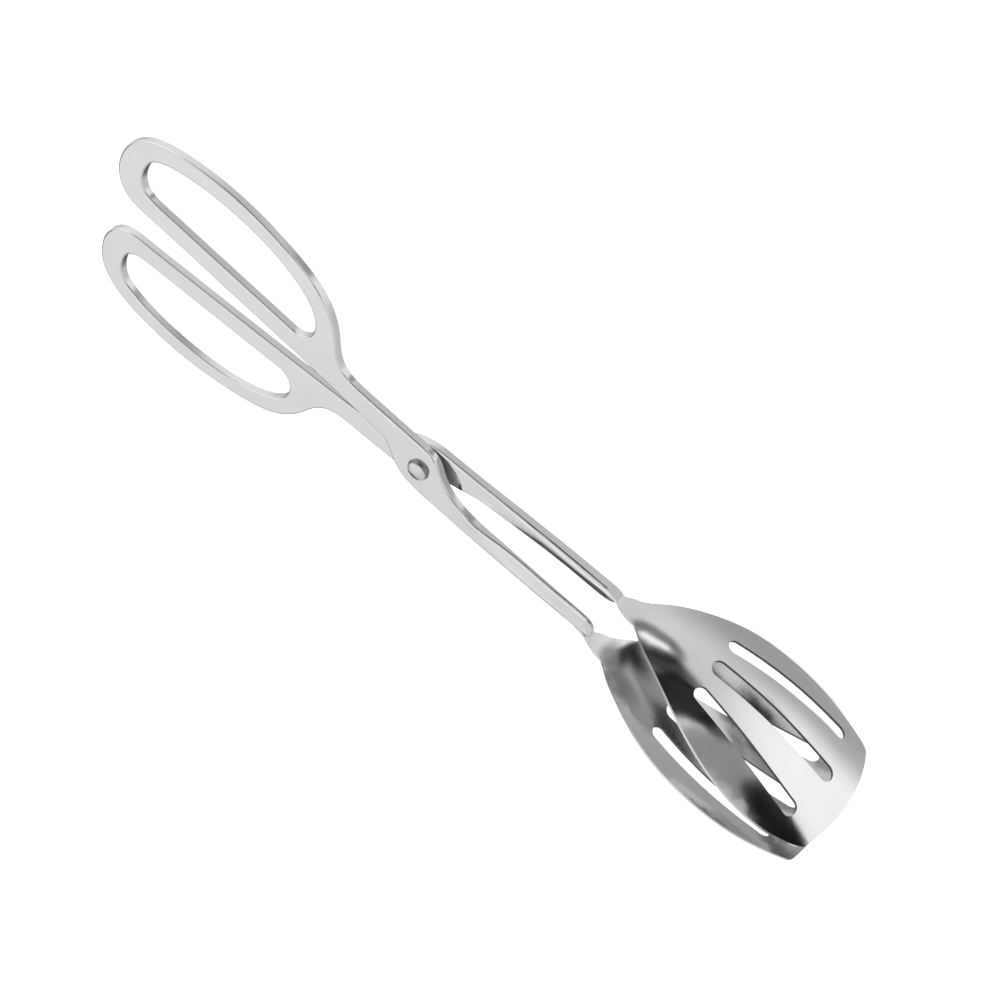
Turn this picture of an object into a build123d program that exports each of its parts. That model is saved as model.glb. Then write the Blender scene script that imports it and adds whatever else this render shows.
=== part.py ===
"""Scissor-action slotted serving tongs in pressed stainless steel.

Two mirror-image halves cross at one rivet. Each half is a single pressing: a closed finger
loop, a neck, a flat pivot plate and an arm, all folded back at their edges like a shallow
channel that is open at the back, and a thin slotted bowl that grows out of the arm's outer
flange. The rear half lies just behind the front half, and its web is dished around the rivet.
A spacer bush keeps the two webs apart, and a washer sits under the rivet's formed tail.

+X runs from the finger loops to the bowls, +Z runs along the rivet towards its domed head,
and Y runs across the handles. The origin is the middle of the underside of the bounding box.
Everything is drawn with the rivet's axis at X=0, Y=0 and the front face at Z=0, and moved at
the end. The drawn pose is the rest pose, with a few millimetres between the bowls' end corners.
"""

from build123d import *
import math
import os

# Sheet and folds, all in mm
SHEET = 1.0  # thickness of the pressed steel
FLANGE_DEPTH = 2.5  # from the front face to the back edge of the folded flanges
FOLD_RADIUS = 0.6  # outside radius of the fold between face and flange
REAR_OFFSET = 2.85  # the rear half's face lies this far behind the front half's face

# Pivot
SHANK_RADIUS = 2.0
SHANK_CLEARANCE = 0.06  # radial running fit of the shank in both halves
RIVET_HEAD_RADIUS = 3.45  # at its foot, on the front face
RIVET_HEAD_HEIGHT = 1.75
RIVET_HEAD_EDGE = 1.15  # height of the leaning side below the head's dome
RIVET_HEAD_LEAN = 0.4  # how far that side leans inwards
RIVET_HEAD_ROUND = 0.5  # rounding between that side and the dome
RIVET_TAIL_RADIUS = 3.0
RIVET_TAIL_HEIGHT = 0.9
RIVET_TAIL_EDGE = 0.4  # height of the straight edge below the tail's rounded back
WASHER_RADIUS = 3.8
WASHER_THICKNESS = 0.5
BUSH_RADIUS = 3.4  # the spacer bush between the two webs
BORE_CLEARANCE = 0.03  # radial gap between the shank and the bush or the washer
END_FLOAT = 0.05  # axial gap on each side of the rear half's web
DISH_DEPTH = 1.0  # the rear half's web is pressed back this far around the rivet
DISH_TOP = (13.3, 8.7)  # half axes of the dish at the face
DISH_FLOOR = (8.8, 5.8)  # half axes of its flat floor

# The bowl, measured from its own middle plane
BOWL_MIDDLE = -2.55  # height of the bowl's middle plane, below the half's own face
BOWL_REACH = 149.0  # from the rivet to the middle of the bowl's end lip
BOWL_ARC_HALF_WIDTH = 24.0  # half width over which the cross-section's dip is stated
BOWL_SPARE_WIDTH = 4.0  # the dished sheet is drawn this much wider before it is cut
CUT_REACH = 20.0  # how far the bowl's cutting outlines reach outwards from the mid-plane
SLOT_WIDTH = 4.4

# Where the arm's changing section takes over from the pivot plate's constant one
ARM_START = 18.0
STUB_TRIM = 50.0  # size of the block that trims off what the plate has beyond that

# How the crown and the dip of the bowl run along its length: distance from the rivet,
# height of the crown above the mid-plane, and how far the sheet drops at 24 mm to each side
BOWL_PROFILE = [
    (60.0, 9.9, 3.4),
    (68.0, 10.1, 4.0),
    (76.0, 10.9, 5.5),
    (86.0, 12.5, 6.3),
    (97.0, 13.5, 6.5),
    (108.0, 13.8, 7.3),
    (120.0, 12.8, 7.5),
    (132.0, 10.4, 7.3),
    (142.0, 7.8, 7.0),
    (152.0, 4.9, 6.7),
]

# Edges of the bowl along its length, from the narrow neck to the start of the end corner:
# distance from the rivet, then how far the front and the back edge lie from the middle plane
BOWL_EDGES = [
    (61.0, 2.0, 0.4),
    (64.0, 2.5, 0.3),
    (66.5, 3.3, 0.4),
    (68.5, 4.2, 1.6),
    (70.5, 4.8, 2.4),
    (73.0, 5.2, 4.0),
    (77.0, 8.0, 7.4),
    (82.0, 11.1, 10.9),
    (90.0, 15.4, 15.4),
    (100.0, 19.9, 19.9),
    (110.0, 22.8, 22.8),
    (120.0, 24.2, 24.2),
    (130.0, 24.0, 24.0),
    (138.0, 22.4, 22.4),
    (143.0, 20.7, 20.7),
]
LIP_CORNER = (146.6, 17.2)  # where the rounded corner runs into the end lip
CORNER_START_RUN = (1.0, -0.5)  # direction of the bowl's front edge where the corner starts
CORNER_END_RUN = (0.12, -1.0)  # direction in which that corner meets the lip

# Slots of the bowl: middle line of a side slot, and the ends of the straight middle slot
SIDE_SLOT_LINE = [(98.5, 9.6), (110.0, 11.7), (122.0, 13.5), (136.0, 15.0)]
MIDDLE_SLOT_ENDS = (98.5, 138.5)
MIDDLE_SLOT_WIDTH = 5.2

# Arm sections: distance from the rivet, outer side, inner side, depth of the outer and of the
# inner flange, where the face's crease lies, how far the face drops at the outer and at the
# inner fold, and the radius of the outer and of the inner fold
ARM_SECTIONS = [
    (18.0, -9.60, -3.10, 2.50, 2.50, -5.00, 0.00, 0.00, 0.60, 0.60),
    (26.0, -9.80, -4.05, 2.75, 2.60, -5.80, 0.00, 0.10, 0.70, 0.70),
    (30.0, -9.88, -4.00, 2.87, 2.50, -6.80, 0.00, 0.40, 0.80, 0.80),
    (40.0, -10.05, -4.20, 3.15, 2.50, -8.30, 0.03, 0.90, 1.00, 1.00),
    (55.0, -10.10, -4.63, 3.45, 2.57, -8.70, 0.06, 1.10, 1.20, 1.00),
    (62.5, -10.05, -4.75, 3.60, 2.55, -8.80, 0.12, 1.20, 1.30, 1.00),
]
ARM_INNER_RUN = (1.0, -0.2)  # direction of the arm's inner side where the arm starts
ARM_OUTER_RUN = (-1.0, 0.03)  # direction of the arm's outer side, towards the pivot
MID_SIDE_RUN = (-1.0, 0.093)  # direction of the neck's side that faces the mid-plane
ARM_NOSE = [
    (65.2, -10.05, -6.20, 3.15, 2.50, -8.90, 0.35, 1.30, 1.10, 0.80),
    (66.6, -10.05, -8.20, 2.30, 2.25, -9.20, 0.80, 1.30, 0.60, 0.50),
]


def direction(start, end):
    """Unit direction from one point of the face to another."""
    length = math.dist(start, end)
    return ((end[0] - start[0]) / length, (end[1] - start[1]) / length)


def smooth_curve(points, start_run, end_run):
    """A smooth curve through the points that leaves and arrives along the given runs."""
    runs = (direction((0, 0), start_run), direction((0, 0), end_run))
    return Spline(*points, tangents=runs, tangent_scalars=(1.0, 1.0))


def outline_wire():
    """The edge of one half's face: loop, neck, pivot plate and the start of the arm.

    The arm's stub runs past ARM_START to a round tip, which is trimmed off after folding.
    """
    loop_end = (-115.4, 20.0)
    neck_side = (-14.5, 1.2)
    arm_inner = (ARM_START, ARM_SECTIONS[0][2])
    arm_outer = (ARM_START, ARM_SECTIONS[0][1])
    stub_inner = (ARM_START + 3.0, -3.7)
    stub_tip = (ARM_START + 9.0, -6.7)
    stub_outer = (ARM_START + 3.0, -9.69)
    loop_far_side = [
        loop_end,
        (-114.2, 27.5),
        (-111.0, 32.7),
        (-105.0, 36.8),
        (-96.0, 39.4),
        (-82.0, 40.6),
        (-70.0, 39.5),
        (-58.0, 36.8),
        (-48.0, 32.7),
        (-42.5, 28.0),
        (-38.0, 20.8),
        (-34.5, 13.9),
        (-31.0, 11.0),
    ]
    neck_and_crotch = [
        (-25.0, 9.8),
        (-16.0, 9.45),
        (-6.0, 9.05),
        (0.4, 8.5),
        (3.6, 7.0),
        (5.9, 4.4),
        (9.0, 1.05),
        (12.8, -1.2),
        arm_inner,
        stub_inner,
    ]
    plate_bulge = [
        stub_outer,
        arm_outer,
        (8.0, -9.2),
        (1.0, -8.8),
        (-5.0, -6.7),
        (-9.4, -2.7),
        neck_side,
    ]
    loop_mid_side = [
        neck_side,
        (-45.0, 4.05),
        (-75.0, 6.1),
        (-102.0, 7.8),
        (-110.5, 9.6),
        (-114.0, 13.9),
        loop_end,
    ]
    curves = [
        smooth_curve(loop_far_side + neck_and_crotch, (0, 1), ARM_INNER_RUN),
        smooth_curve([stub_inner, stub_tip], ARM_INNER_RUN, (0, -1)),
        smooth_curve([stub_tip, stub_outer], (0, -1), ARM_OUTER_RUN),
        smooth_curve(plate_bulge, ARM_OUTER_RUN, MID_SIDE_RUN),
        smooth_curve(loop_mid_side, MID_SIDE_RUN, (0, 1)),
    ]
    return Wire(curves)


def finger_hole_wire():
    """The finger hole: a straight side towards the mid-plane and a bowed far side."""
    far_point = (-107.4, 22.0)
    straight_from = (-50.5, 11.35)
    straight_to = (-99.5, 14.4)
    straight_run = direction(straight_from, straight_to)
    bowed_side = [
        far_point,
        (-105.5, 28.8),
        (-99.0, 32.6),
        (-89.0, 34.7),
        (-78.0, 35.0),
        (-66.0, 33.6),
        (-56.0, 30.4),
        (-48.5, 25.6),
        (-44.7, 18.6),
        (-46.2, 13.2),
        straight_from,
    ]
    far_end = [
        straight_to,
        (-105.6, 16.6),
        far_point,
    ]
    curves = [
        smooth_curve(bowed_side, (0, 1), straight_run),
        Line(straight_from, straight_to),
        smooth_curve(far_end, straight_run, (0, 1)),
    ]
    return Wire(curves)


def outer_profile(outer, inner, depths, crease, drops, radii):
    """The outside of the arm's cross-section, from its outer foot over the face to the other."""
    slack = 1 - math.sqrt(0.5)  # how far a quarter round's middle stays off its corner
    r_outer, r_inner = radii
    top_outer, top_inner = -drops[0], -drops[1]
    outer_foot = (outer, -depths[0])
    outer_shoulder = (outer, top_outer - r_outer)
    outer_middle = (outer + r_outer * slack, top_outer - r_outer * slack)
    face_outer = (outer + r_outer, top_outer)
    face_inner = (inner - r_inner, top_inner)
    inner_middle = (inner - r_inner * slack, top_inner - r_inner * slack)
    inner_shoulder = (inner, top_inner - r_inner)
    inner_foot = (inner, -depths[1])
    ridge = (crease, 0.0)
    return [
        Line(outer_foot, outer_shoulder),
        ThreePointArc(outer_shoulder, outer_middle, face_outer),
        Bezier(face_outer, ridge, ridge, face_inner),
        ThreePointArc(face_inner, inner_middle, inner_shoulder),
        Line(inner_shoulder, inner_foot),
    ]


def on_section_plane(x, edges):
    """A face in the plane square to the arm at one distance from the rivet."""
    plane = Plane(origin=(x, 0, 0), x_dir=(0, 1, 0), z_dir=(1, 0, 0))
    return plane * Face(Wire(edges))


def section(measures, inside):
    """One cross-section of the arm, closed by straight lines along its inside."""
    x, outer, inner, depth_outer, depth_inner, crease, *folds = measures
    depths, drops, radii = (depth_outer, depth_inner), folds[:2], folds[2:]
    points = [(inner, -depth_inner)] + inside + [(outer, -depth_outer)]
    edges = outer_profile(outer, inner, depths, crease, drops, radii)
    edges += [Line(start, end) for start, end in zip(points, points[1:])]
    return on_section_plane(x, edges)


def full_section(measures):
    """One cross-section of the arm's solid nose."""
    return section(measures, [])


def channel_section(measures):
    """One cross-section of the arm's folded sheet, open at the back."""
    _, outer, inner, depth_outer, depth_inner, _, drop_outer, drop_inner, *_ = measures
    inside = [
        (inner - SHEET, -depth_inner),
        (inner - SHEET, -drop_inner - SHEET),
        (outer + SHEET, -drop_outer - SHEET),
        (outer + SHEET, -depth_outer),
    ]
    return section(measures, inside)


def loop_neck_and_plate():
    """The folded channel of the finger loop, the neck and the pivot plate."""
    down = (0, 0, -1)
    face = Face(outline_wire(), [finger_hole_wire()])
    block = extrude(face, amount=FLANGE_DEPTH, dir=down)
    block = fillet(block.faces().sort_by(Axis.Z)[-1].edges(), FOLD_RADIUS)
    for hollow_face in offset(face, amount=-SHEET).faces():
        hollow = extrude(hollow_face.to_splines(), amount=2 * FLANGE_DEPTH, dir=down)
        block -= hollow.moved(Location((0, 0, -SHEET)))
    trim = Pos(ARM_START + STUB_TRIM / 2, 0, 0) * Box(STUB_TRIM, STUB_TRIM, STUB_TRIM)
    return block - trim


def arm(plate_end):
    """The arm, from the end face of the pivot plate to its solid rounded nose."""
    channel = loft([plate_end] + [channel_section(s) for s in ARM_SECTIONS[1:]])
    nose = loft([full_section(s) for s in ARM_SECTIONS[-1:] + ARM_NOSE])
    return channel + nose


def bowl_arc(x, crown, dip, thickness, middle):
    """Cross-section of the bowl's sheet, wider than the bowl, at one distance from the rivet."""
    plane = Plane(origin=(x, 0, 0), x_dir=(0, 0, 1), z_dir=(-1, 0, 0))
    radius = (BOWL_ARC_HALF_WIDTH**2 + dip**2) / (2 * dip)
    half = BOWL_ARC_HALF_WIDTH + BOWL_SPARE_WIDTH
    drop = radius - math.sqrt(radius**2 - half**2)
    outer_ends = [(middle + s * half, -(crown - drop)) for s in (-1, 1)]
    inner_ends = [(middle + s * half, -(crown - drop - thickness)) for s in (-1, 1)]
    edges = [
        ThreePointArc(outer_ends[0], (middle, -crown), outer_ends[1]),
        Line(outer_ends[1], inner_ends[1]),
        ThreePointArc(inner_ends[1], (middle, -(crown - thickness)), inner_ends[0]),
        Line(inner_ends[0], outer_ends[0]),
    ]
    return plane * Face(Wire(edges))


def bowl_plan(middle):
    """Outline of the bowl seen square on, as a face in the XZ plane."""
    lip_x, lip_w = LIP_CORNER
    sides = []
    for side, column in ((1, 1), (-1, 2)):
        edge = [(row[0], middle + side * row[column]) for row in BOWL_EDGES]
        corner = [edge[-1], (lip_x, middle + side * lip_w)]
        runs = [(run[0], side * run[1]) for run in (CORNER_START_RUN, CORNER_END_RUN)]
        sides.append((Spline(*edge), Spline(*corner, tangents=runs)))
    front, back = sides
    lip = ThreePointArc(
        (lip_x, middle + lip_w), (BOWL_REACH, middle), (lip_x, middle - lip_w)
    )
    neck = Line(back[0] @ 0, front[0] @ 0)
    return Face(Wire([front[0], front[1], lip, back[1], back[0], neck]))


def slot_faces(middle):
    """The three drain slots, seen square on."""
    faces = []
    for s in (1, -1):
        line = Spline(*[(x, middle + s * z) for x, z in SIDE_SLOT_LINE])
        faces.append(SlotArc(Edge(line.wrapped), SLOT_WIDTH).face().to_splines())
    start, end = MIDDLE_SLOT_ENDS
    middle_slot = Pos((start + end) / 2, middle) * SlotOverall(
        end - start + MIDDLE_SLOT_WIDTH, MIDDLE_SLOT_WIDTH
    )
    faces.append(middle_slot.face())
    return faces


def bowl():
    """The slotted bowl: a dished sheet cut to its outline."""
    middle = BOWL_MIDDLE
    sheet = loft([bowl_arc(x, c, d, SHEET, middle) for x, c, d in BOWL_PROFILE])
    to_plan = Plane(origin=(0, 0, 0), x_dir=(1, 0, 0), z_dir=(0, -1, 0))
    plan = to_plan * bowl_plan(middle)
    result = sheet & extrude(plan, amount=CUT_REACH, dir=(0, -1, 0))
    for slot in slot_faces(middle):
        result -= extrude(to_plan * slot, amount=CUT_REACH, dir=(0, -1, 0))
    return result


def half():
    """One half without its rivet hole, drawn as the front half."""
    handle = loop_neck_and_plate()
    plate_end = handle.faces().sort_by(Axis.X)[-1]
    return handle + arm(plate_end) + bowl()


def rivet_hole():
    """The hole for the shank, long enough for both webs."""
    return Cylinder(SHANK_RADIUS + SHANK_CLEARANCE, 4 * FLANGE_DEPTH)


def dish(top):
    """The space of the hollow pressed into the rear web, starting at the given height."""
    rim = Pos(0, 0, top) * Ellipse(*DISH_TOP)
    floor = Pos(0, 0, top - DISH_DEPTH) * Ellipse(*DISH_FLOOR)
    return loft([rim.face(), floor.face()])


def front_half(plain_half):
    """The half that carries the rivet, with its face in front."""
    return plain_half - rivet_hole()


def rear_half(plain_half):
    """The other half: a mirror image set behind the first, dished around the rivet."""
    outside = extrude(Face(outline_wire()), amount=FLANGE_DEPTH, dir=(0, 0, -1))
    pressed_web = dish(-SHEET) & outside
    pressed = plain_half + pressed_web - dish(0) - rivet_hole()
    return Pos(0, 0, -REAR_OFFSET) * mirror(pressed, about=Plane.XZ)


def ring(radius, bottom, top):
    """A flat ring around the shank."""
    height = top - bottom
    bore = SHANK_RADIUS + BORE_CLEARANCE
    washer = Cylinder(radius, height) - Cylinder(bore, 2 * height)
    return Pos(0, 0, (top + bottom) / 2) * washer


def dome_middle(radius, rise):
    """A point half way out on a spherical cap: its distance from the axis and its drop."""
    sphere = (radius**2 + rise**2) / (2 * rise)
    return radius / 2, sphere - math.sqrt(sphere**2 - (radius / 2) ** 2)


def pivot_rivet(tail_front):
    """Plain shank with a low domed head in front and a rounded formed tail at the back."""
    tail_back = tail_front - RIVET_TAIL_HEIGHT
    tail_rise = RIVET_TAIL_HEIGHT - RIVET_TAIL_EDGE
    dome_radius = RIVET_HEAD_RADIUS - RIVET_HEAD_LEAN
    head_x, head_drop = dome_middle(dome_radius, RIVET_HEAD_HEIGHT - RIVET_HEAD_EDGE)
    tail_x, tail_drop = dome_middle(RIVET_TAIL_RADIUS, tail_rise)
    head_top = (0, RIVET_HEAD_HEIGHT)
    head_middle = (head_x, RIVET_HEAD_HEIGHT - head_drop)
    head_edge = (dome_radius, RIVET_HEAD_EDGE)
    tail_edge = (RIVET_TAIL_RADIUS, tail_back + tail_rise)
    tail_middle = (tail_x, tail_back + tail_drop)
    tail_end = (0, tail_back)
    edges = [
        ThreePointArc(head_top, head_middle, head_edge),
        Line(head_edge, (RIVET_HEAD_RADIUS, 0)),
        Line((RIVET_HEAD_RADIUS, 0), (SHANK_RADIUS, 0)),
        Line((SHANK_RADIUS, 0), (SHANK_RADIUS, tail_front)),
        Line((SHANK_RADIUS, tail_front), (RIVET_TAIL_RADIUS, tail_front)),
        Line((RIVET_TAIL_RADIUS, tail_front), tail_edge),
        ThreePointArc(tail_edge, tail_middle, tail_end),
        Line(tail_end, head_top),
    ]
    rivet = revolve(Plane.XZ * Face(Wire(edges)), Axis.Z)
    dome_edge = rivet.edges().filter_by(lambda edge: edge.is_closed).sort_by(Axis.Z)[-1]
    return fillet(dome_edge, RIVET_HEAD_ROUND)


plain_half = half()
rear_web_front = -REAR_OFFSET - DISH_DEPTH
rear_web_back = rear_web_front - SHEET
washer_front = rear_web_back - END_FLOAT
washer_back = washer_front - WASHER_THICKNESS
pieces = {
    "front_half": front_half(plain_half),
    "rear_half": rear_half(plain_half),
    "pivot_rivet": pivot_rivet(washer_back),
    "pivot_bush": ring(BUSH_RADIUS, rear_web_front + END_FLOAT, -SHEET),
    "tail_washer": ring(WASHER_RADIUS, washer_back, washer_front),
}

boxes = [piece.bounding_box() for piece in pieces.values()]
middle_x = (min(box.min.X for box in boxes) + max(box.max.X for box in boxes)) / 2
lowest_z = min(box.min.Z for box in boxes)

os.makedirs("parts", exist_ok=True)
for name, piece in pieces.items():
    placed = Pos(-middle_x, 0, -lowest_z) * piece.solid()
    export_step(placed, f"parts/{name}.step")
print("rivet axis at X", -middle_x, "and front face at Z", -lowest_z)
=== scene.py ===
"""Looks, floor, light and camera for the slotted serving tongs."""

import math

import bpy
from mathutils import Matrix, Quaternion, Vector


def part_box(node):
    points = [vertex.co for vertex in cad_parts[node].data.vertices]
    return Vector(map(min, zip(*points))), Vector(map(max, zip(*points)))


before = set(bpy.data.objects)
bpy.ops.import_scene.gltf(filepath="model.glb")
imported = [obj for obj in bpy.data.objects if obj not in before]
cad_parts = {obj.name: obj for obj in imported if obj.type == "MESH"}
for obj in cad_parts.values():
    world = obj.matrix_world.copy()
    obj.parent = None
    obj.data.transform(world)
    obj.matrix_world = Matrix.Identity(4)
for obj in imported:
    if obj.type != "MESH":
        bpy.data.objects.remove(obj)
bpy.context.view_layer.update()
rivet_low, rivet_high = (Vector(corner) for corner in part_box("pivot_rivet"))
rivet_middle = (rivet_low + rivet_high) / 2


# ---------- materials ----------

def new_material(name):
    """A material with nodes, its node helper and its Principled shader."""
    material = bpy.data.materials.new(name)
    material.use_nodes = True
    tree = material.node_tree
    tree.nodes.clear()
    output = tree.nodes.new("ShaderNodeOutputMaterial")
    shader = tree.nodes.new("ShaderNodeBsdfPrincipled")
    tree.links.new(shader.outputs["BSDF"], output.inputs["Surface"])
    return material, tree, shader


def noise(tree, vector, scale, detail=4.0, roughness=0.5):
    """A noise texture read at the given coordinate."""
    node = tree.nodes.new("ShaderNodeTexNoise")
    node.inputs["Scale"].default_value = scale
    node.inputs["Detail"].default_value = detail
    node.inputs["Roughness"].default_value = roughness
    tree.links.new(vector, node.inputs["Vector"])
    return node.outputs["Fac"]


def remap(tree, value, low, high, to_low, to_high):
    """The value, remapped from one range to another."""
    node = tree.nodes.new("ShaderNodeMapRange")
    node.inputs["From Min"].default_value = low
    node.inputs["From Max"].default_value = high
    node.inputs["To Min"].default_value = to_low
    node.inputs["To Max"].default_value = to_high
    tree.links.new(value, node.inputs["Value"])
    return node.outputs["Result"]


def stretched(tree, vector, stretch):
    """The coordinate, stretched per axis, so a texture turns into streaks."""
    node = tree.nodes.new("ShaderNodeMapping")
    node.inputs["Scale"].default_value = stretch
    tree.links.new(vector, node.inputs["Vector"])
    return node.outputs["Vector"]


def ramp(tree, value, stops):
    """A colour ramp between two (position, colour) stops."""
    node = tree.nodes.new("ShaderNodeValToRGB")
    for point, (position, colour) in zip(node.color_ramp.elements, stops):
        point.position = position
        point.color = (*colour, 1.0)
    tree.links.new(value, node.inputs["Fac"])
    return node.outputs["Color"]


def math_node(tree, operation, first, second):
    """The result of a math node on two sockets or numbers."""
    node = tree.nodes.new("ShaderNodeMath")
    node.operation = operation
    for socket, value in zip(node.inputs, (first, second)):
        if isinstance(value, (int, float)):
            socket.default_value = value
        else:
            tree.links.new(value, socket)
    return node.outputs["Value"]


def set_material(node, material):
    """Give one CAD node its material."""
    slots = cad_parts[node].data.materials
    slots.clear()
    slots.append(material)


# Surface of the steel; the scales are features per metre
STREAK_SCALE = (60.0, 1400.0, 1400.0)  # long along the part and narrow across it
STREAK_DETAIL = 3.0
STREAK_SHARE = 0.5  # of the streaks in the relief, against 1 for the grain
GRAIN_SCALE = 2600.0
GRAIN_DETAIL = 2.0
SMUDGE_SCALE = 70.0
SMUDGE_DETAIL = 5.0
SMUDGE_ROUGHNESS = 0.6
SMUDGE_SPAN = (0.3, 0.7)  # the noise values between which the smudges show
RELIEF_STRENGTH = 0.09
RELIEF_DEPTH = 0.00003  # in metres


def steel(name, roughness_low, roughness_high, light, dark):
    """Satin stainless steel: fine grain, faint streaks along the part and smudges."""
    material, tree, shader = new_material(name)
    place = tree.nodes.new("ShaderNodeTexCoord").outputs["Object"]
    streaks = noise(tree, stretched(tree, place, STREAK_SCALE), 1.0, STREAK_DETAIL)
    grain = noise(tree, place, GRAIN_SCALE, GRAIN_DETAIL)
    smudges = noise(tree, place, SMUDGE_SCALE, SMUDGE_DETAIL, SMUDGE_ROUGHNESS)
    low, high = SMUDGE_SPAN
    colour = ramp(tree, smudges, [(low, dark), (high, light)])
    tree.links.new(colour, shader.inputs["Base Color"])
    rough = remap(tree, smudges, low, high, roughness_low, roughness_high)
    tree.links.new(rough, shader.inputs["Roughness"])
    weak_streaks = math_node(tree, "MULTIPLY", streaks, STREAK_SHARE)
    relief = math_node(tree, "ADD", weak_streaks, grain)
    bump = tree.nodes.new("ShaderNodeBump")
    bump.inputs["Strength"].default_value = RELIEF_STRENGTH
    bump.inputs["Distance"].default_value = RELIEF_DEPTH
    tree.links.new(relief, bump.inputs["Height"])
    tree.links.new(bump.outputs["Normal"], shader.inputs["Normal"])
    shader.inputs["Metallic"].default_value = 1.0
    return material, tree, shader, place


def between(tree, value, low, high, soft):
    """1 where the value lies between two limits, fading to 0 over a soft width outside them."""
    above = remap(tree, value, low - soft, low, 0.0, 1.0)
    below = remap(tree, value, high, high + soft, 1.0, 0.0)
    return math_node(tree, "MULTIPLY", above, below)


def inside_box(tree, place, low, high, soft):
    """1 inside a box of the part, fading to 0 over a soft width around it."""
    xyz = tree.nodes.new("ShaderNodeSeparateXYZ")
    tree.links.new(place, xyz.inputs["Vector"])
    mask = None
    for axis, (start, end) in enumerate(zip(low, high)):
        inside = between(tree, xyz.outputs[axis], start, end, soft)
        mask = inside if mask is None else math_node(tree, "MULTIPLY", mask, inside)
    return mask


def facing(tree, axis, none, full):
    """A mask of faces by how squarely they look along an axis, either way.

    The amount is 0 for a face side on to the axis and 1 for one that looks straight along it.
    The mask is 0 at the amount none and 1 at the amount full.
    """
    xyz = tree.nodes.new("ShaderNodeSeparateXYZ")
    normal = tree.nodes.new("ShaderNodeTexCoord").outputs["Normal"]
    tree.links.new(normal, xyz.inputs["Vector"])
    amount = math_node(tree, "ABSOLUTE", xyz.outputs[axis], 0.0)
    return remap(tree, amount, none, full, 0.0, 1.0)


def darken_and_roughen(tree, shader, mask, colour, extra_roughness):
    """Darker and rougher steel where the mask is 1: painted shade, and darker steel on the
    slots' cut walls.
    """
    mix = tree.nodes.new("ShaderNodeMixRGB")
    mix.inputs["Color2"].default_value = colour
    tree.links.new(mask, mix.inputs["Fac"])
    tree.links.new(shader.inputs["Base Color"].links[0].from_socket, mix.inputs["Color1"])
    tree.links.new(mix.outputs["Color"], shader.inputs["Base Color"])
    rough = math_node(tree, "MULTIPLY", mask, extra_roughness)
    plain = shader.inputs["Roughness"].links[0].from_socket
    tree.links.new(math_node(tree, "ADD", rough, plain), shader.inputs["Roughness"])


# Where the steel is painted darker and rougher (painted shade on the flange walls, in the
# recess and on the rivet head's side): colour, added roughness and the span of squareness, see
# facing()
CUT_WALL_COLOUR = (0.16, 0.16, 0.16, 1.0)
CUT_WALL_ROUGHNESS = 0.35
CUT_WALL_FACING = (0.45, 0.30)  # along Y
# painted shade: the recess round the rivet, under the front half, is darker and rougher
RECESS_SHADE_COLOUR = (0.72, 0.72, 0.72, 1.0)
RECESS_ROUGHNESS = 0.30
RECESS_FACING = (0.70, 0.85)  # along Z
# painted shade: the walls of the arm, plate and loop are darker than the faces
FLANGE_SHADE_COLOUR = (0.66, 0.66, 0.66, 1.0)
FLANGE_ROUGHNESS = 0.08
FLANGE_FACING = (0.40, 0.10)  # along Z
# painted shade: the steep side of the rivet's head is painted dark, for the dark crescent round
# the dome
HEAD_SIDE_SHADE_COLOUR = (0.26, 0.26, 0.26, 1.0)
HEAD_SIDE_ROUGHNESS = 0.20
HEAD_SIDE_FACING = (0.80, 0.50)  # along Z
Y_AXIS = 1
Z_AXIS = 2

# Sizes of those places, in metres
MASK_FADE = 0.0003
SLOTS_LENGTH = 0.046  # along the bowl
SLOTS_END = 0.0075  # from the bowl's end lip to the slots
SLOTS_SIDE = 0.0069  # from the bowl's sides to the side slots
REAR_FACE_DROP = 0.00285  # from the front half's face to the rear half's
RECESS_HALF = Vector((0.0133, 0.0087, 0.0))  # half the size of the recess round the rivet
RECESS_DEPTH = 0.0012
RECESS_RIM = 0.00045  # from the rear half's face down to the painted shade
HEAD_HEIGHT = 0.00175  # of the rivet's head above the front face
BOWL_LENGTH = 0.0835  # from the bowl's end lip back to the arm's nose

# Steel of the rivet and of the halves: least and most roughness, light and dark colour
RIVET_STEEL = (0.10, 0.18, (0.74, 0.74, 0.74), (0.66, 0.66, 0.66))
HALF_STEEL = (0.08, 0.13, (0.80, 0.80, 0.80), (0.75, 0.75, 0.75))


def slot_walls_box(node):
    """The part of a half's bowl that holds its three slots, as a low and a high corner."""
    low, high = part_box(node)
    slots_low = Vector((high.x - SLOTS_LENGTH - SLOTS_END, low.y, low.z + SLOTS_SIDE))
    return slots_low, Vector((high.x - SLOTS_END, high.y, high.z - SLOTS_SIDE))


def handle_box(node):
    """The part of a half that lies behind its bowl: the arm, the plate and the loop."""
    low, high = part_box(node)
    return low, Vector((high.x - BOWL_LENGTH, high.y, high.z))


def recess_box():
    """The hollow pressed into the rear half around the rivet."""
    face = rivet_high.z - HEAD_HEIGHT - REAR_FACE_DROP
    middle = Vector((rivet_middle.x, rivet_middle.y, 0.0))
    low = middle - RECESS_HALF + Vector((0.0, 0.0, face - RECESS_DEPTH))
    return low, middle + RECESS_HALF + Vector((0.0, 0.0, face - RECESS_RIM))


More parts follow.
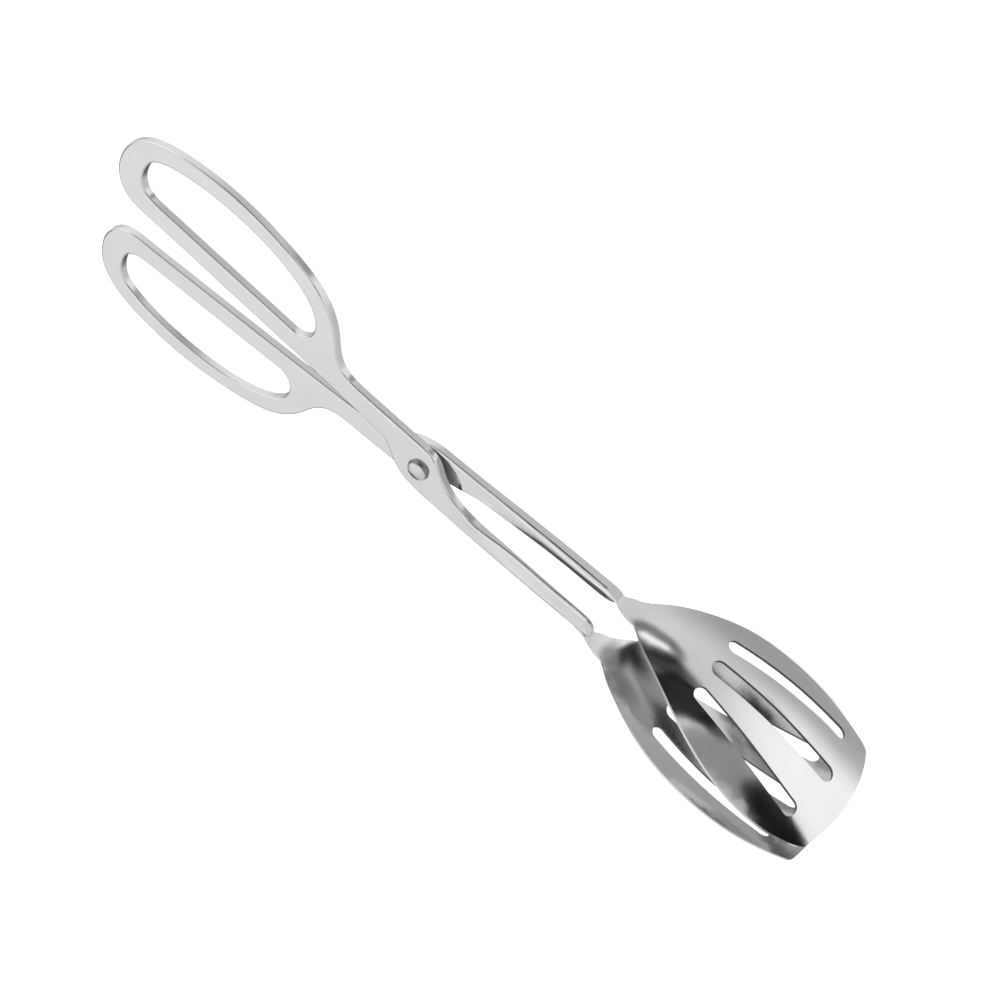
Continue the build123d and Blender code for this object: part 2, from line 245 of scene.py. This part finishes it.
rivet_steel, tree, shader, _ = steel("rivet_steel", *RIVET_STEEL)
# painted shade on the steep side of the rivet's head
head_side_shade = facing(tree, Z_AXIS, *HEAD_SIDE_FACING)
darken_and_roughen(tree, shader, head_side_shade, HEAD_SIDE_SHADE_COLOUR, HEAD_SIDE_ROUGHNESS)
for node in ("pivot_rivet", "pivot_bush", "tail_washer"):
    set_material(node, rivet_steel)
for node in ("front_half", "rear_half"):
    material, tree, shader, place = steel("satin_steel_" + node, *HALF_STEEL)
    # painted shade on the walls of the arm, the plate and the loop
    flange_shade = inside_box(tree, place, *handle_box(node), MASK_FADE)
    upright = facing(tree, Z_AXIS, *FLANGE_FACING)
    flange_shade = math_node(tree, "MULTIPLY", flange_shade, upright)
    darken_and_roughen(tree, shader, flange_shade, FLANGE_SHADE_COLOUR, FLANGE_ROUGHNESS)
    slots = inside_box(tree, place, *slot_walls_box(node), MASK_FADE)
    cut_walls = math_node(tree, "MULTIPLY", slots, facing(tree, Y_AXIS, *CUT_WALL_FACING))
    darken_and_roughen(tree, shader, cut_walls, CUT_WALL_COLOUR, CUT_WALL_ROUGHNESS)
    if node == "rear_half":
        # painted shade in the recess round the rivet, under the front half
        recess = inside_box(tree, place, *recess_box(), MASK_FADE)
        recess = math_node(tree, "MULTIPLY", recess, facing(tree, Z_AXIS, *RECESS_FACING))
        darken_and_roughen(tree, shader, recess, RECESS_SHADE_COLOUR, RECESS_ROUGHNESS)
    set_material(node, material)


# ---------- floor, light and camera ----------

FLOOR_HALF_WIDTH = 6.0  # in metres, as are the backdrop's radius and height
BACKDROP_RADIUS = 5.0
BACKDROP_HEIGHT = 5.0
BACKDROP_SIDES = 96
FLOOR_COLOURS = [(0.3, (0.93, 0.93, 0.93)), (0.7, (0.95, 0.95, 0.95))]  # see ramp()
FLOOR_SPECKLE_SCALE = 8.0
FLOOR_ROUGHNESS = 0.9
FLOOR_SHEEN = 0.1
FLOOR_GLOW = 0.55  # keeps the floor white in the picture


def floor_material():
    """Plain pale floor with a hardly visible unevenness."""
    material, tree, shader = new_material("floor")
    place = tree.nodes.new("ShaderNodeTexCoord").outputs["Object"]
    colour = ramp(tree, noise(tree, place, FLOOR_SPECKLE_SCALE), FLOOR_COLOURS)
    tree.links.new(colour, shader.inputs["Base Color"])
    shader.inputs["Roughness"].default_value = FLOOR_ROUGHNESS
    shader.inputs["Specular IOR Level"].default_value = FLOOR_SHEEN
    shader.inputs["Emission Color"].default_value = (1.0, 1.0, 1.0, 1.0)
    shader.inputs["Emission Strength"].default_value = FLOOR_GLOW
    return material


def build_floor(half_width):
    """A flat square sheet under the object."""
    signs = [(-1, -1), (1, -1), (1, 1), (-1, 1)]
    corners = [(x * half_width, y * half_width, 0.0) for x, y in signs]
    mesh = bpy.data.meshes.new("floor")
    mesh.from_pydata(corners, [], [(0, 1, 2, 3)])
    floor = bpy.data.objects.new("floor", mesh)
    bpy.context.scene.collection.objects.link(floor)
    floor.data.materials.append(floor_material())
    return floor


def build_backdrop(radius, height, sides, material):
    """A round pale wall, so that low views end in the same white as the floor."""
    turns = [2 * math.pi * side / sides for side in range(sides)]
    ring = [(radius * math.cos(turn), radius * math.sin(turn)) for turn in turns]
    points = [(x, y, z) for z in (0.0, height) for x, y in ring]
    next_side = [(side + 1) % sides for side in range(sides)]
    faces = [(a, b, b + sides, a + sides) for a, b in enumerate(next_side)]
    mesh = bpy.data.meshes.new("backdrop")
    mesh.from_pydata(points, [], faces)
    backdrop = bpy.data.objects.new("backdrop", mesh)
    bpy.context.scene.collection.objects.link(backdrop)
    backdrop.data.materials.append(material)
    return backdrop


def direction(azimuth, elevation):
    """Unit vector towards a compass azimuth from +X to +Y and an elevation, in degrees."""
    a = math.radians(azimuth)
    e = math.radians(elevation)
    return Vector((math.cos(e) * math.cos(a), math.cos(e) * math.sin(a), math.sin(e)))


def patch(tree, towards, place, inner, outer, peak):
    """A soft round patch of the studio: peak inside the inner angle, 0 outside the outer."""
    azimuth, elevation = place
    dot = tree.nodes.new("ShaderNodeVectorMath")
    dot.operation = "DOT_PRODUCT"
    dot.inputs[1].default_value = direction(azimuth, elevation)
    tree.links.new(towards, dot.inputs[0])
    soft = tree.nodes.new("ShaderNodeMapRange")
    soft.interpolation_type = "SMOOTHSTEP"
    soft.inputs["From Min"].default_value = math.cos(math.radians(outer))
    soft.inputs["From Max"].default_value = math.cos(math.radians(inner))
    soft.inputs["To Max"].default_value = peak
    tree.links.new(dot.outputs["Value"], soft.inputs["Value"])
    return soft.outputs["Result"]


STUDIO_LEVEL = 0.74  # brightness of the studio where nothing stands
# What the polished steel sees in it, all in degrees but the last number: place as azimuth and
# elevation, the angles where it is full and where it has faded out, and its strength
SOFT_BOXES = [
    ((48.0, -20.0), 8.0, 40.0, 0.40),
    ((150.0, -5.0), 20.0, 60.0, 0.40),
    ((-120.0, 52.0), 6.0, 35.0, 0.22),
    ((90.0, 84.0), 8.0, 22.0, 0.40),
]
BLACK_FLAGS = [
    ((52.0, 18.0), 9.0, 13.0, 0.985),
    ((41.0, 30.0), 6.0, 13.0, 0.90),
    ((69.0, 18.0), 10.0, 17.0, 0.58),
    ((79.0, 4.0), 4.0, 7.0, 0.90),
    ((90.0, -1.0), 9.0, 14.0, 0.96),
    ((98.0, -14.0), 4.0, 9.0, 0.92),
    ((106.0, -22.0), 8.0, 11.0, 0.78),
    ((113.0, 3.0), 12.0, 22.0, 0.75),
    ((67.0, -36.0), 5.0, 10.0, 0.65),
    ((-95.0, 0.0), 6.0, 20.0, 0.85),
    ((-90.0, -38.0), 16.0, 40.0, 0.80),
    ((-130.0, 12.0), 10.0, 24.0, 0.60),
    ((-50.0, -12.0), 12.0, 25.0, 0.60),
    ((90.0, -90.0), 2.0, 50.0, 0.45),
]
SMALL_LAMP = ((103.0, -22.6), 1.0, 2.8, 1.4)  # stands in front of the flags


def studio_world():
    """Pale surroundings with soft boxes and black flags, which the steel reflects."""
    world = bpy.data.worlds.new("studio")
    world.use_nodes = True
    tree = world.node_tree
    tree.nodes.clear()
    towards = tree.nodes.new("ShaderNodeTexCoord").outputs["Generated"]
    level = None
    for place, inner, outer, peak in SOFT_BOXES:
        light = patch(tree, towards, place, inner, outer, peak)
        level = math_node(tree, "ADD", STUDIO_LEVEL if level is None else level, light)
    for place, inner, outer, depth in BLACK_FLAGS:
        shade = patch(tree, towards, place, inner, outer, depth)
        level = math_node(tree, "MULTIPLY", level, math_node(tree, "SUBTRACT", 1.0, shade))
    level = math_node(tree, "ADD", level, patch(tree, towards, *SMALL_LAMP))
    background = tree.nodes.new("ShaderNodeBackground")
    output = tree.nodes.new("ShaderNodeOutputWorld")
    tree.links.new(level, background.inputs["Color"])
    tree.links.new(background.outputs["Background"], output.inputs["Surface"])
    return world


floor = build_floor(FLOOR_HALF_WIDTH)
floor.visible_glossy = False
pale = floor.data.materials[0]
backdrop = build_backdrop(BACKDROP_RADIUS, BACKDROP_HEIGHT, BACKDROP_SIDES, pale)
backdrop.visible_glossy = False
backdrop.visible_diffuse = False
backdrop.visible_shadow = False
bpy.context.scene.world = studio_world()

CAMERA_DISTANCE = 0.5  # from the aim point
CAMERA_AIM = Vector((0.00595, 0.00403, 0.02245))
CAMERA_AZIMUTH = 86.71
CAMERA_ELEVATION = 34.754
CAMERA_ROLL = 137.68
CAMERA_LENS = 64.8  # in mm, for the sensor width below
CAMERA_SENSOR = 36.0

camera_data = bpy.data.cameras.new("camera")
camera_data.lens = CAMERA_LENS
camera_data.sensor_width = CAMERA_SENSOR
camera = bpy.data.objects.new("camera", camera_data)
camera.location = CAMERA_AIM + direction(CAMERA_AZIMUTH, CAMERA_ELEVATION) * CAMERA_DISTANCE
look = (CAMERA_AIM - camera.location).to_track_quat("-Z", "Y")
roll = Quaternion((0, 0, 1), -math.radians(CAMERA_ROLL))
camera.rotation_mode = "QUATERNION"
camera.rotation_quaternion = look @ roll
bpy.context.scene.collection.objects.link(camera)
bpy.context.scene.camera = camera
bpy.context.scene.view_settings.view_transform = "Standard"
